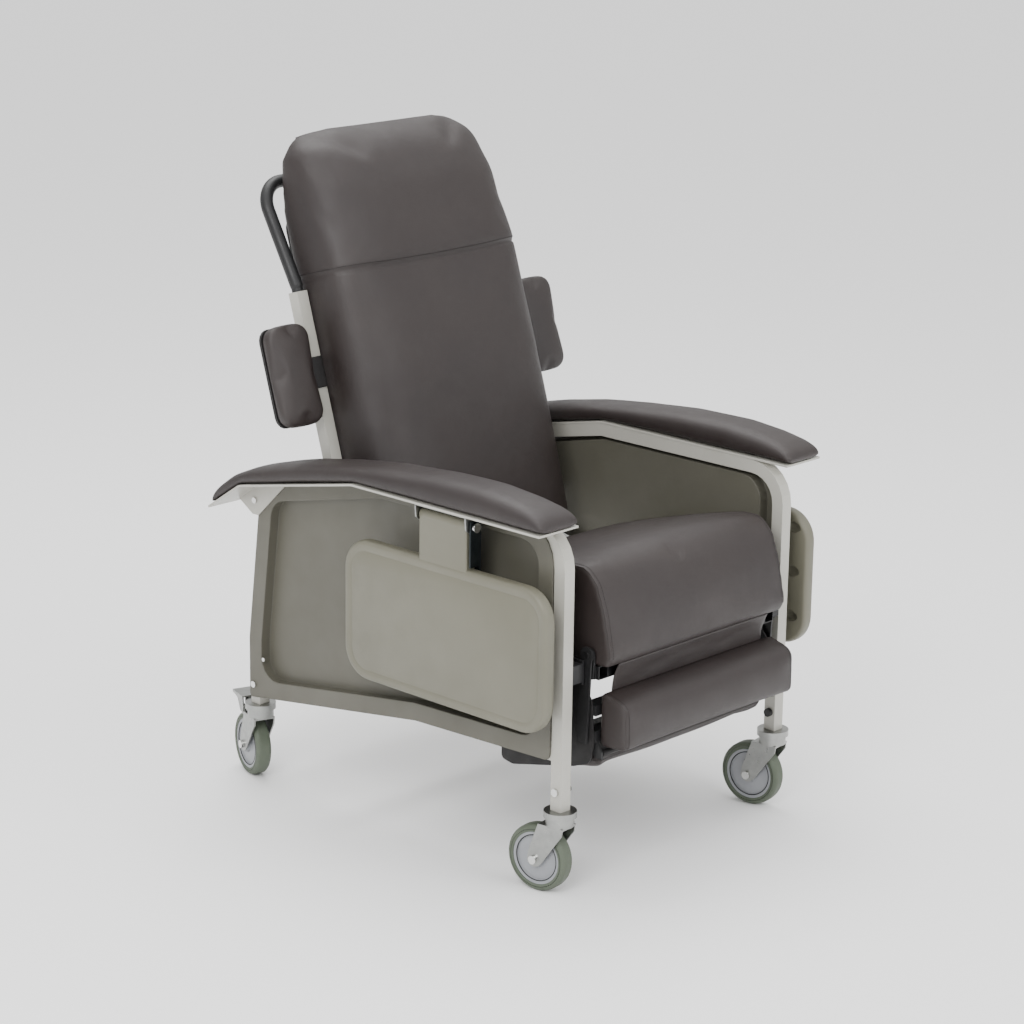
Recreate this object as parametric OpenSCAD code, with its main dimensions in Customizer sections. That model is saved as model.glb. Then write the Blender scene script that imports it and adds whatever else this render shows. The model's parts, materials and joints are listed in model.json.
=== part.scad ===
// Reclining patient chair on four swivel casters, with a legrest, folding side trays and headrest wings.
// Millimetres. +Z is up, -Y is the front, and the occupant's right hand is on the -X side.

/* [Frame] */
// Distance between the centre lines of the left and right legs
leg_span_x = 610; // [608:1:614]
// Distance between the centre lines of the front and rear legs
leg_span_y = 810; // [806:1:812]
// Side of the square frame tube
tube = 25.4; // [25:0.1:25.6]
// Wall thickness of the square tube
tube_wall = 1.6; // [1.2:0.1:2]
// Height of the top of the straight armrest rail
rail_top_z = 694; // [692:0.5:695]

/* [Casters] */
// Wheel diameter
wheel_d = 127; // [124:1:128]
// Width of the tyre
tyre_w = 32; // [28:1:34]
// Distance from the swivel axis to the wheel axle
caster_trail = 42; // [38:1:44]
// Height of the lower end of the legs, on top of the caster races
leg_foot_z = 163; // [163:0.5:166]

/* [Cushions] */
// Half of the seat cushion's width
seat_half_w = 250; // [240:1:250]
// Half of the back cushion's width at its widest
back_half_w = 248; // [240:1:248]
// Half of the legrest pad's width
legrest_half_w = 240; // [220:1:240]

/* [Back] */
// Lean of the back from upright, at rest
back_lean = 17; // [16:0.5:18]
// Height of the back's recline pivot
pivot_z = 560; // [558:1:562]

/* [Trays] */
// Thickness of a side tray
tray_t = 26; // [22:1:26]
// Radius of a tray's corners
tray_corner_r = 60; // [40:5:70]

/* [Hidden] */
$fn = 48;

// The whole chair is shifted so that its box is centred on the origin
shift_y = -3.4;
leg_x = leg_span_x / 2;
leg_y = leg_span_y / 2;
half_tube = tube / 2;
inner_x = leg_x - half_tube;
outer_x = leg_x + half_tube;
rail_z = rail_top_z - half_tube;
running = 0.05;

// Shape of the side frame, as (y, z) points
rail_bend = [50, rail_z];
rear_top = [366, 616];
rear_knee_z = 300;
low_rail = [[-leg_y + half_tube - 0.5, 270], [-48, 258], [leg_y - half_tube + 0.5, 191]];

// Arm plate, as (y, z) points of its middle surface
plate_t = 4;
plate_line = [[-424, rail_top_z + 2.4], [50, rail_top_z + 2.4], [362, 632.4], [452, 573]];
arm_x = [292, 393];

// Casters: side, end and the angle of the trail from straight back
front_right = [-1, -1, -8];
front_left = [1, -1, -8];
rear_right = [-1, 1, 19];
rear_left = [1, 1, -12];
wheel_r = wheel_d / 2;
hub_r = 50;
axle_r = 5;
king_r = 6;
cup_z = 151;
fork_in = tyre_w / 2 + 3;
fork_t = 3;
pedal_pivot = [38, 142];

// Back, in its own upright space around the recline pivot
pivot_y = 198;
back_tube_x = 264.7;
back_tube_h = [-30, 457];
back_rear = 26;
board_t = 3.7;
cross_bar_h = [30, 235];
stub_rear = 55.8;
pin_r = 8;

// Push handle
handle_r = 12.5;
handle_lean = 30;
handle_bend_r = 55;
handle_start_h = 470;
handle_len = 208;

// Seat and legrest
seat_rail_z = 404.6;
seat_rail_x = 222;
seat_y = [-440, 36];
slider_z = 417.3;
slider_y = [-190, -10];
slide_travel = 63;
leg_pivot = [-420, 450];
foot_hinge = [-440, 262];
foot_slope = 14;
foot_half_w = 235;
arm_tip = [229.5, 473.5];

// Trays
tray_out_x = 380;
tray_pin_at = [367, 672];
tray_y = [-433, 83];
tray_z = [321, 592];
neck_y = [-234, -114];

// --- plane geometry ---
function unit(v) = v / norm(v);
function left_of(v) = [-v[1], v[0]];
function reversed(list) = [for (i = [len(list) - 1 : -1 : 0]) list[i]];

// Arc of radius r that rounds the corner b between a and c
function corner_arc(a, b, c, r, n) =
    r == 0 ? [b] :
    let (u = unit(a - b), v = unit(c - b), half = acos(u * v) / 2,
         centre = b + unit(u + v) * r / sin(half),
         from = b + u * r / tan(half) - centre,
         to = b + v * r / tan(half) - centre,
         start = atan2(from[1], from[0]),
         turn = atan2(from[0] * to[1] - from[1] * to[0], from * to))
    [for (i = [0 : n]) centre + r * [cos(start + turn * i / n), sin(start + turn * i / n)]];

// Closed outline with its corners rounded by one radius or a list of radii
function rounded(points, radii, n = 5) =
    let (last = len(points) - 1)
    [for (i = [0 : last])
        each corner_arc(points[i == 0 ? last : i - 1], points[i], points[i == last ? 0 : i + 1],
                        is_list(radii) ? radii[i] : radii, n)];

// Open line with its inner corners rounded
function bent(line, radii, n = 6) =
    let (last = len(line) - 1)
    concat([line[0]],
           [for (i = [1 : last - 1])
               each corner_arc(line[i - 1], line[i], line[i + 1],
                               is_list(radii) ? radii[i - 1] : radii, n)],
           [line[last]]);

// Line that runs at distance d to the left of another
function beside(line, d) =
    let (last = len(line) - 1)
    [for (i = [0 : last])
        let (u = unit(i == 0 ? line[1] - line[0] : line[i] - line[i - 1]),
             v = unit(i == last ? line[last] - line[last - 1] : line[i + 1] - line[i]),
             n = left_of(u) + left_of(v))
        line[i] + n * d * 2 / (n * n)];

// Outline of a strip of width w along a line
function band(line, w) = concat(beside(line, -w / 2), reversed(beside(line, w / 2)));

// Line with both ends lengthened by e
function longer(line, e) =
    let (last = len(line) - 1)
    [for (i = [0 : last])
        i == 0 ? line[0] + e * unit(line[0] - line[1]) :
        i == last ? line[last] + e * unit(line[last] - line[last - 1]) : line[i]];

// Counter-clockwise outline moved inward by d
function inset(points, d) =
    let (last = len(points) - 1)
    [for (i = [0 : last])
        let (u = unit(points[i] - points[i == 0 ? last : i - 1]),
             v = unit(points[i == last ? 0 : i + 1] - points[i]),
             n = left_of(u) + left_of(v))
        points[i] + n * d * 2 / (n * n)];

function box_outline(a, b) = [[a[0], b[0]], [a[1], b[0]], [a[1], b[1]], [a[0], b[1]]];

// --- placing ---
module placed() translate([0, shift_y, 0]) children();

module on_side(side) {
    if (side < 0) mirror([1, 0, 0]) children();
    else children();
}

module both_sides() {
    for (side = [-1, 1]) on_side(side) children();
}

// Extrudes a (y, z) outline along X between two places
module across(x0, x1) translate([x0, 0, 0]) rotate([90, 0, 90]) linear_extrude(x1 - x0) children();

// Round bar along X at a (y, z) place
module bar_x(x0, x1, r, at) translate([x0, at[0], at[1]]) rotate([0, 90, 0]) cylinder(r = r, h = x1 - x0);

// Box given by its ranges
module block(x, y, z) translate([x[0], y[0], z[0]]) cube([x[1] - x[0], y[1] - y[0], z[1] - z[0]]);

// Hollow square tube bent in the (y, z) plane
module bent_tube(line, radii) {
    difference() {
        across(leg_x - half_tube, leg_x + half_tube) polygon(band(bent(line, radii), tube));
        across(leg_x - half_tube + tube_wall, leg_x + half_tube - tube_wall)
            polygon(band(bent(longer(line, 1), radii), tube - 2 * tube_wall));
    }
}

// Hollow square tube along X, centred on a (y, z) place
module cross_tube(half_len, at) {
    hollow = half_tube - tube_wall;
    difference() {
        block([-half_len, half_len], [at[0] - half_tube, at[0] + half_tube],
              [at[1] - half_tube, at[1] + half_tube]);
        block([-half_len - 1, half_len + 1], [at[0] - hollow, at[0] + hollow],
              [at[1] - hollow, at[1] + hollow]);
    }
}

// The back's upright space: x, distance behind the tubes, height above the pivot
module back_space() translate([0, pivot_y, pivot_z]) rotate([-back_lean, 0, 0]) children();

// The foot panel's space: y runs back along it and z is square to it
module foot_space() translate([0, foot_hinge[0], foot_hinge[1]]) rotate([-foot_slope, 0, 0]) children();

module caster_space(c) {
    translate([c[0] * leg_x, c[1] * leg_y, 0]) rotate([0, 0, -c[2]]) children();
}

// --- side frames, panels and armrests ---
module side_frame(side) {
    hoop = [[-leg_y, leg_foot_z], [-leg_y, rail_z], rail_bend, rear_top, [leg_y, rear_knee_z],
            [leg_y, leg_foot_z]];
    color([0.80, 0.79, 0.75]) placed() on_side(side)
        difference() {
            union() {
                bent_tube(hoop, [65, 60, 45, 80]);
                bent_tube(low_rail, 60);
            }
            bar_x(inner_x - 1, outer_x + 1, 4 + running, [-leg_y, 200]);
        }
}

module side_panel(side) {
    outline = [[-391.5, 257], [-48, 245], [417.5, 175.5], [417.5, 300], [380, 619],
               [50, rail_top_z - 1], [-391.5, rail_top_z - 1]];
    radii = [14, 60, 8, 60, 40, 60, 70];
    sheet = 3;
    rim_w = 32;
    floor_x = 296;
    dish_radii = [40, 50, 45, 40, 45, 50, 45];
    color([0.59, 0.58, 0.53]) placed() on_side(side)
        difference() {
            union() {
                across(outer_x + 0.3, outer_x + 0.3 + sheet) polygon(rounded(outline, radii));
                across(floor_x, outer_x + 0.3 + sheet)
                    polygon(rounded(inset(outline, rim_w), dish_radii));
            }
            across(floor_x + sheet, outer_x + 1 + sheet)
                polygon(rounded(inset(outline, rim_w + sheet), [for (r = dish_radii) r - sheet]));
        }
}

module arm_plate(side) {
    bracket = [[384, 556], [400, 556], [440, 580.4], [362, 631.6], [290, 646.2]];
    color([0.85, 0.84, 0.80]) placed() on_side(side)
        union() {
            across(arm_x[0], arm_x[1]) polygon(band(bent(plate_line, 30), plate_t));
            across(outer_x + 4, outer_x + 7) polygon(bracket);
        }
}

module arm_pad(side) {
    under = [[-426, 699.2], [50, 699.2], [362, 635.6], [446, 580.4]];
    crown = [[450, 584], [447, 599], [434, 614], [391, 647], [336, 670], [262, 690], [204, 704],
             [105, 722], [-12, 737], [-142, 747], [-269, 749], [-350, 743], [-400, 732], [-421, 720],
             [-429, 706]];
    color([0.33, 0.29, 0.28]) placed() on_side(side)
        intersection() {
            across(arm_x[0], arm_x[1]) polygon(concat(under, crown));
            translate([0, 0, 500])
                linear_extrude(300) polygon(rounded(box_outline(arm_x, [-430, 450]), 20));
        }
}

// --- side trays ---
module tray(side) {
    outline = [[tray_y[0], tray_z[0]], [tray_y[1], tray_z[0]], [tray_y[1], tray_z[1]],
               [neck_y[1], tray_z[1]], [neck_y[1], tray_pin_at[1]], [neck_y[0], tray_pin_at[1]],
               [neck_y[0], tray_z[1]], [tray_y[0], tray_z[1]]];
    radii = [tray_corner_r, tray_corner_r, tray_corner_r, 14, 0, 0, 14, tray_corner_r];
    color([0.65, 0.64, 0.58]) placed() on_side(side)
        difference() {
            union() {
                across(tray_out_x - tray_t, tray_out_x) polygon(rounded(outline, radii, 8));
                translate([tray_pin_at[0], neck_y[0], tray_pin_at[1]]) rotate([-90, 0, 0])
                    cylinder(r = tray_t / 2, h = neck_y[1] - neck_y[0]);
            }
            translate([tray_pin_at[0], neck_y[0] - 1, tray_pin_at[1]]) rotate([-90, 0, 0])
                cylinder(r = 5 + running, h = neck_y[1] - neck_y[0] + 2);
        }
}

module tray_strap(side) {
    inside = tray_out_x - tray_t - 0.3;
    front = neck_y[0] - 10;
    color([0.40, 0.43, 0.44]) placed() on_side(side)
        difference() {
            union() {
                block([inside - 3, 378], [front, front + 3], [598, 684]);
                block([inside - 3, inside], [front, front + 54], [556, 640]);
            }
            translate([tray_pin_at[0], front - 1, tray_pin_at[1]]) rotate([-90, 0, 0])
                cylinder(r = 5 + running, h = 5);
        }
}

module tray_bracket(side) {
    ear_t = 3;
    flange_z = [690.6, 694.1];
    color([0.84, 0.83, 0.80]) placed() on_side(side)
        difference() {
            union() {
                block([outer_x + 4, 386], [neck_y[0] - 4.5, neck_y[1] + 4.5], flange_z);
                for (y = [neck_y[0] - 4.5, neck_y[1] + 1.5])
                    across_ear([y, y + ear_t]);
            }
            translate([tray_pin_at[0], neck_y[0] - 6, tray_pin_at[1]]) rotate([-90, 0, 0])
                cylinder(r = 5 + running, h = neck_y[1] - neck_y[0] + 12);
        }
}

// One ear of a tray bracket, tapering down round the pin
module across_ear(y) {
    ear = [[354, 664], [364, 658], [372, 658], [384, 668], [386, 691], [346, 691]];
    translate([0, y[1], 0]) rotate([90, 0, 0]) linear_extrude(y[1] - y[0]) polygon(rounded(ear, 2, 2));
}

module tray_pin(side) {
    color([0.84, 0.84, 0.82]) placed() on_side(side)
        translate([tray_pin_at[0], 0, tray_pin_at[1]]) rotate([-90, 0, 0]) {
            translate([0, 0, neck_y[0] - 12]) cylinder(r = 5, h = neck_y[1] - neck_y[0] + 22);
            translate([0, 0, neck_y[0] - 16.5]) cylinder(r = 9, h = 5);
            translate([0, 0, neck_y[1] + 5]) cylinder(r = 8.5, h = 6, $fn = 6);
        }
}

// --- back ---
module back_tube() {
    hollow = half_tube - tube_wall;
    x = [back_tube_x - half_tube, back_tube_x + half_tube];
    difference() {
        block(x, [-half_tube, half_tube], back_tube_h);
        block([x[0] + tube_wall, x[1] - tube_wall], [-hollow, hollow],
              [back_tube_h[0] - 1, back_tube_h[1] + 1]);
        bar_x(x[0] - 1, x[1] + 1, pin_r + running, [0, 0]);
    }
}

// Lower arm that drives the seat through the drag link
module drive_arm() {
    x = [back_tube_x + half_tube - 4.1, back_tube_x + half_tube];
    difference() {
        across(x[0], x[1]) polygon(band([[204, 540], arm_tip + [3, -8]], 24));
        bar_x(x[0] - 1, x[1] + 1, pin_r + running, [pivot_y, pivot_z]);
    }
    bar_x(x[0] - 6, x[0] + 1, 6, arm_tip);
}

module back_frame() {
    x_out = back_tube_x + half_tube;
    color([0.80, 0.79, 0.75]) placed()
        union() {
            back_space() {
                both_sides() back_tube();
                for (h = cross_bar_h) {
                    both_sides()
                        block([x_out - tube, x_out], [half_tube, stub_rear], [h - half_tube, h + half_tube]);
                    block([tube - x_out, x_out - tube], [stub_rear - tube, stub_rear],
                          [h - half_tube, h + half_tube]);
                }
            }
            both_sides() drive_arm();
        }
}

module back_board() {
    color([0.20, 0.18, 0.18]) placed() back_space()
        translate([0, back_rear + board_t + 0.3, 0]) rotate([90, 0, 0]) linear_extrude(board_t)
            polygon(rounded(box_outline([-236, 236], [-90, 600]), 25));
}

module back_cushion() {
    profile = [[-100, -118], [back_rear - 8, -104], [back_rear, -90], [back_rear, 600],
               [back_rear - 4, 655], [12, 705], [-2, 745], [-22, 761], [-48, 756], [-78, 716],
               [-109, 628], [-127, 463], [-134, 270], [-133, 67], [-126, -85]];
    top_half_w = back_half_w - 11;
    front_view = [[-back_half_w, -119], [back_half_w, -119], [back_half_w, 480], [top_half_w, 763],
                  [-top_half_w, 763], [-back_half_w, 480]];
    color([0.33, 0.29, 0.28]) placed() back_space()
        intersection() {
            across(-back_half_w, back_half_w) polygon(profile);
            translate([0, 40, 0]) rotate([90, 0, 0]) linear_extrude(200)
                polygon(rounded(front_view, [20, 20, 0, 74, 74, 0], 8));
        }
}

// Straight length of the handle's pipe, going up from the origin
module pipe(len) {
    difference() {
        cylinder(r = handle_r, h = len);
        translate([0, 0, -1]) cylinder(r = handle_r - tube_wall, h = len + 2);
    }
}

// Quarter bend that turns a rising pipe toward -X
module pipe_bend() {
    rotate([90, 0, 0]) rotate_extrude(angle = 90) translate([handle_bend_r, 0])
        difference() {
            circle(r = handle_r);
            circle(r = handle_r - tube_wall);
        }
}

module push_handle() {
    rise = handle_len - handle_bend_r;
    run = back_tube_x - handle_bend_r;
    color([0.18, 0.18, 0.18]) placed() back_space()
        translate([0, 0, handle_start_h]) {
            both_sides() translate([back_tube_x, 0, -50]) cylinder(r = 10.9, h = 50);
            both_sides() translate([back_tube_x, 0, 0]) sphere(r = handle_r);
            rotate([back_lean - handle_lean, 0, 0]) {
                both_sides() {
                    translate([back_tube_x, 0, 0]) pipe(rise);
                    translate([back_tube_x - handle_bend_r, 0, rise]) pipe_bend();
                }
                translate([-run, 0, handle_len]) rotate([0, 90, 0]) pipe(2 * run);
            }
        }
}

module wing_outline(grow) {
    polygon(rounded(box_outline([284 - grow, 387 + grow], [206 - grow, 400 + grow]), 26 + grow));
}

module wing_pad(side) {
    color([0.33, 0.29, 0.28]) placed() back_space() on_side(side)
        translate([0, -6.3, 0]) rotate([90, 0, 0]) linear_extrude(31.7) wing_outline(0);
}

module wing_bracket(side) {
    gap = 0.3;
    t = 3;
    out = back_tube_x + half_tube + gap;
    deep = half_tube + gap;
    color([0.20, 0.18, 0.18]) placed() back_space() on_side(side)
        union() {
            rotate([90, 0, 0]) linear_extrude(6) wing_outline(-2);
            block([out, out + t], [-deep - t, deep + t], [270, 330]);
            block([254, out + t], [-deep - t, -deep], [270, 330]);
            block([254, out + t], [deep, deep + t], [270, 330]);
            block([out, 370], [0, 4], [282, 318]);
        }
}

// --- seat ---
module seat_side_rail() {
    hollow = tube - 2 * tube_wall;
    difference() {
        translate([seat_rail_x, seat_y[0], seat_rail_z]) cube([tube, seat_y[1] - seat_y[0], tube]);
        translate([seat_rail_x + tube_wall, seat_y[0] - 1, seat_rail_z + tube_wall])
            cube([hollow, seat_y[1] - seat_y[0] + 2, hollow]);
    }
}

// Ear outside the rail that carries the legrest pivot
module legrest_ear() {
    out = seat_rail_x + tube;
    block([out, 251.2], [-432, -400], [seat_rail_z, seat_rail_z + tube]);
    across(251, 255) polygon(rounded([[-432, 405], [-402, 405], [-404, 462], [-436, 462]], [2, 2, 12, 12]));
    bar_x(254, 261, 6, leg_pivot);
}

module seat_frame() {
    out = seat_rail_x + tube;
    z = seat_rail_z + half_tube;
    color([0.80, 0.79, 0.75]) placed()
        union() {
            both_sides() {
                seat_side_rail();
                legrest_ear();
                bar_x(out - 0.5, 267.6, 6, [slider_y[0], slider_z]);
                bar_x(out - 0.5, 272.6, 6, [slider_y[1], slider_z]);
            }
            cross_tube(seat_rail_x + 0.5, [seat_y[0] + half_tube, z]);
            cross_tube(seat_rail_x + 0.5, [seat_y[1] - half_tube, z]);
        }
}

module seat_cushion() {
    profile = [[-458, 431.5], [34, 431.5], [38, 436], [38, 482], [30, 491], [-44, 517], [-122, 543],
               [-224, 573], [-286, 590], [-359, 608], [-398, 611], [-420, 601], [-434, 578], [-450, 529],
               [-468, 454], [-466, 438]];
    color([0.33, 0.29, 0.28]) placed() across(-seat_half_w, seat_half_w) polygon(profile);
}

// Links from the seat's rear sliders to the back's drive arms; the rear eyes are slack
module drag_links() {
    line = [[slider_y[1], slider_z], arm_tip + [0, -2.7]];
    x = [268.2, 272.2];
    color([0.62, 0.63, 0.64]) placed() both_sides()
        difference() {
            union() {
                across(x[0], x[1]) polygon(band(line, 18));
                bar_x(x[0], x[1], 13, line[0]);
                bar_x(x[0], x[1], 19, line[1]);
            }
            bar_x(x[0] - 1, x[1] + 1, 6 + running, line[0]);
            bar_x(x[0] - 1, x[1] + 1, 12.5, line[1]);
        }
}

// --- legrest ---
module legrest_arm() {
    difference() {
        union() {
            across(256, 260) polygon(band([leg_pivot, [-412, 283]], 24));
            bar_x(256, 260, 15, leg_pivot);
        }
        bar_x(255, 261.5, 6 + running, leg_pivot);
    }
}

// Lug below the lower bar that carries the foot panel's hinge pin
module foot_lug() {
    across(240, 246)
        polygon([[-449, 255], [-434, 255], [-406, 284], [-406, 290], [-434, 290], [-447, 268]]);
    bar_x(216, 241, 3, foot_hinge);
}

module legrest_frame() {
    color([0.80, 0.79, 0.75]) placed()
        union() {
            for (z = [285, 335]) block([-248.3, 248.3], [-435.4, -405.4], [z, z + 20]);
            both_sides() {
                legrest_arm();
                for (z = [295, 345]) bar_x(248, 257, 5, [-415, z]);
                foot_lug();
            }
        }
}

module legrest_pad() {
    profile = [[-503, 278], [-436, 275], [-436, 380], [-501, 360]];
    color([0.33, 0.29, 0.28]) placed()
        across(-legrest_half_w, legrest_half_w) polygon(rounded(profile, [14, 6, 10, 26]));
}

module leg_guards() {
    outline = [[-425, 243], [-387, 228], [-235, 191], [-206, 196], [-206, 415], [-378, 415],
               [-428, 365], [-434, 278]];
    radii = [20, 40, 24, 10, 10, 24, 40, 30];
    color([0.16, 0.15, 0.15]) placed() both_sides()
        difference() {
            across(248.5, 251.5) polygon(rounded(outline, radii));
            for (z = [295, 345]) bar_x(247, 253, 5 + running, [-415, z]);
        }
}

module calf_flap() {
    line = [[-459, 430.6], [-447, 405], [-442, 382.4]];
    color([0.33, 0.29, 0.28]) placed() across(-215, 205) polygon(band(bent(line, 40), 2.4));
}

module foot_board() {
    color([0.16, 0.15, 0.15]) placed() foot_space()
        difference() {
            union() {
                block([-foot_half_w, foot_half_w], [0, 238], [-4, 4]);
                bar_x(-foot_half_w, foot_half_w, 6, [0, 0]);
            }
            both_sides() bar_x(214, foot_half_w + 1, 3 + running, [0, 0]);
        }
}

module foot_pad() {
    color([0.33, 0.29, 0.28]) placed() foot_space()
        across(-foot_half_w, foot_half_w)
            polygon(rounded(box_outline([8, 238], [-38, -4.3]), [16, 16, 3, 3]));
}

// --- under the seat ---
module cross_tubes() {
    color([0.80, 0.79, 0.75]) placed() {
        cross_tube(inner_x, [404, 300]);
        cross_tube(inner_x, [-60, 259]);
        cross_tube(inner_x, [200, 220.3]);
    }
}

module pivot_bars() {
    x = [inner_x - 6, inner_x];
    color([0.80, 0.79, 0.75]) placed() both_sides()
        union() {
            block(x, [pivot_y - 15, pivot_y + 15], [233.1, 660]);
            bar_x(back_tube_x - half_tube + 0.4, x[0] + 1, pin_r, [pivot_y, pivot_z]);
            bar_x(back_tube_x + half_tube + 0.2, x[0] + 1, 14, [pivot_y, pivot_z]);
        }
}

module slider_slot(y) {
    front = y - slide_travel - 0.5;
    slot_r = 6.1;
    block([261, 268], [front, y + 0.5], [slider_z - slot_r, slider_z + slot_r]);
    for (end = [front, y + 0.5]) bar_x(261, 268, slot_r, [end, slider_z]);
}

module seat_guides() {
    color([0.55, 0.56, 0.57]) placed() both_sides()
        difference() {
            union() {
                block([262, 267], [-leg_y - half_tube, 213], [395, 440]);
                block([266, inner_x], [-leg_y - half_tube, half_tube - leg_y], [400, 435]);
                block([266, inner_x - 6], [186, 210], [400, 435]);
            }
            for (y = slider_y) slider_slot(y);
        }
}

// --- fasteners ---
module side_bolts() {
    panel_x = outer_x + 3.3;
    color([0.84, 0.84, 0.82]) placed() both_sides() {
        bar_x(inner_x - 2, outer_x + 1, 4, [-leg_y, 200]);
        bar_x(outer_x, outer_x + 5, 7.5, [-leg_y, 200]);
        bar_x(panel_x, panel_x + 4, 6.5, [leg_y, 204]);
        bar_x(panel_x, panel_x + 2, 4, [376, 262]);
        bar_x(outer_x + 7, outer_x + 11, 6, [392, 585]);
    }
}

module nut_caps() {
    color([0.1, 0.1, 0.1]) placed() both_sides()
        difference() {
            bar_x(inner_x - 8, inner_x, 8, [-leg_y, 200]);
            bar_x(inner_x - 2.1, inner_x + 1, 4 + running, [-leg_y, 200]);
        }
}

// --- casters ---
module caster_cup(c) {
    color([0.84, 0.84, 0.82]) placed() caster_space(c)
        difference() {
            union() {
                translate([0, 0, cup_z]) cylinder(r = 30.5, h = leg_foot_z - cup_z);
                translate([0, 0, leg_foot_z - 1]) cylinder(r = 10.9, h = 26);
            }
            translate([0, 0, cup_z - 1]) cylinder(r = king_r + running, h = 15);
        }
}

module fork_leg() {
    plate = [[-20, 134], [-18, 120], [24, 60], [34, 50], [56, 62], [54, 78], [34, 134]];
    across(fork_in, fork_in + fork_t)
        polygon(rounded(plate, [0, 4, 8, 10, 10, 20, 0]));
}

module caster_fork(c) {
    braked = c[1] > 0;
    axle_at = [caster_trail, wheel_r];
    out = fork_in + fork_t;
    color([0.84, 0.84, 0.82]) placed() caster_space(c)
        difference() {
            union() {
                translate([0, 0, 134]) cylinder(r = 26, h = cup_z - 0.3 - 134);
                block([-out, out], [-20, 34], [131, 135]);
                translate([0, 0, 140]) cylinder(r = king_r, h = 23.5);
                both_sides() {
                    fork_leg();
                    bar_x(fork_in, out, 14, axle_at);
                    if (braked) {
                        bar_x(fork_in, out, 8, pedal_pivot);
                        block([fork_in, out], [30, 46], [128, 142]);
                    }
                }
            }
            bar_x(-out - 1, out + 1, axle_r + running, axle_at);
            if (braked) bar_x(-out - 1, out + 1, 4 + running, pedal_pivot);
        }
}

module caster_axle(c) {
    axle_at = [caster_trail, wheel_r];
    out = fork_in + fork_t;
    color([0.85, 0.85, 0.86]) placed() caster_space(c)
        union() {
            bar_x(-out - 1, out + 1, axle_r, axle_at);
            bar_x(out + 0.1, out + 5, 8.5, axle_at);
            bar_x(-out - 6, -out - 0.1, 8, axle_at);
        }
}

// Turns a (radius, width) outline round the wheel's axle
module round_axle() {
    translate([0, caster_trail, wheel_r]) rotate([0, 90, 0]) rotate_extrude($fn = 96) children();
}

module caster_hub(c) {
    bore = axle_r + running;
    color([0.73, 0.73, 0.75]) placed() caster_space(c) round_axle()
        polygon([[bore, -fork_in + 0.5], [16, -fork_in + 0.5], [18, -12], [42, -10], [44, -13],
                 [hub_r, -14], [hub_r, 14], [44, 13], [42, 10], [18, 12], [16, fork_in - 0.5],
                 [bore, fork_in - 0.5]]);
}

module caster_tyre(c) {
    half = tyre_w / 2;
    color([0.49, 0.52, 0.46]) placed() caster_space(c) round_axle()
        polygon(rounded([[hub_r, -half + 1], [hub_r + 5, -half], [wheel_r, -half], [wheel_r, half],
                         [hub_r + 5, half], [hub_r, half - 1]], [0, 2, 9, 9, 2, 0]));
}

module brake_pedal(c) {
    out = fork_in + fork_t + 0.3;
    arm = [[31, 134], [45, 134], [60, 158], [84, 162], [84, 167], [34, 167], [31, 150]];
    color([0.62, 0.63, 0.62]) placed() caster_space(c)
        union() {
            both_sides() {
                across(out, out + 3) polygon(rounded(arm, [3, 3, 6, 1, 1, 3, 3], 3));
                bar_x(fork_in + 0.2, out + 3, 4, pedal_pivot);
            }
            block([-out - 3, out + 3], [34, 84], [164, 167]);
            block([-12, 12], [50, 53], [129, 165]);
        }
}

side_frame(-1);  // side_frame_right
side_frame(1);  // side_frame_left
side_panel(-1);  // side_panel_right
side_panel(1);  // side_panel_left
arm_plate(-1);  // arm_plate_right
arm_plate(1);  // arm_plate_left
arm_pad(-1);  // arm_pad_right
arm_pad(1);  // arm_pad_left
tray(-1);  // tray_right
tray(1);  // tray_left
tray_strap(-1);  // tray_strap_right
tray_strap(1);  // tray_strap_left
tray_bracket(-1);  // tray_bracket_right
tray_bracket(1);  // tray_bracket_left
tray_pin(-1);  // tray_pin_right
tray_pin(1);  // tray_pin_left
wing_pad(-1);  // wing_pad_right
wing_pad(1);  // wing_pad_left
wing_bracket(-1);  // wing_bracket_right
wing_bracket(1);  // wing_bracket_left
back_frame();
back_board();
back_cushion();
push_handle();
seat_frame();
seat_cushion();
drag_links();
legrest_frame();
legrest_pad();
leg_guards();
calf_flap();
foot_board();
foot_pad();
cross_tubes();
pivot_bars();
seat_guides();
side_bolts();
nut_caps();
caster_cup(front_right);  // cup_front_right
caster_cup(front_left);  // cup_front_left
caster_cup(rear_right);  // cup_rear_right
caster_cup(rear_left);  // cup_rear_left
caster_fork(front_right);  // fork_front_right
caster_fork(front_left);  // fork_front_left
caster_fork(rear_right);  // fork_rear_right
caster_fork(rear_left);  // fork_rear_left
caster_axle(front_right);  // axle_front_right
caster_axle(front_left);  // axle_front_left
caster_axle(rear_right);  // axle_rear_right
caster_axle(rear_left);  // axle_rear_left
caster_hub(front_right);  // hub_front_right
caster_hub(front_left);  // hub_front_left
caster_hub(rear_right);  // hub_rear_right
caster_hub(rear_left);  // hub_rear_left
caster_tyre(front_right);  // tyre_front_right
caster_tyre(front_left);  // tyre_front_left
caster_tyre(rear_right);  // tyre_rear_right
caster_tyre(rear_left);  // tyre_rear_left
brake_pedal(rear_right);  // brake_pedal_right
brake_pedal(rear_left);  // brake_pedal_left
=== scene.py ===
import json
import math

import bmesh
import bpy
from mathutils import Matrix, Vector, noise
from mathutils.bvhtree import BVHTree
from mathutils.kdtree import KDTree


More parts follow.
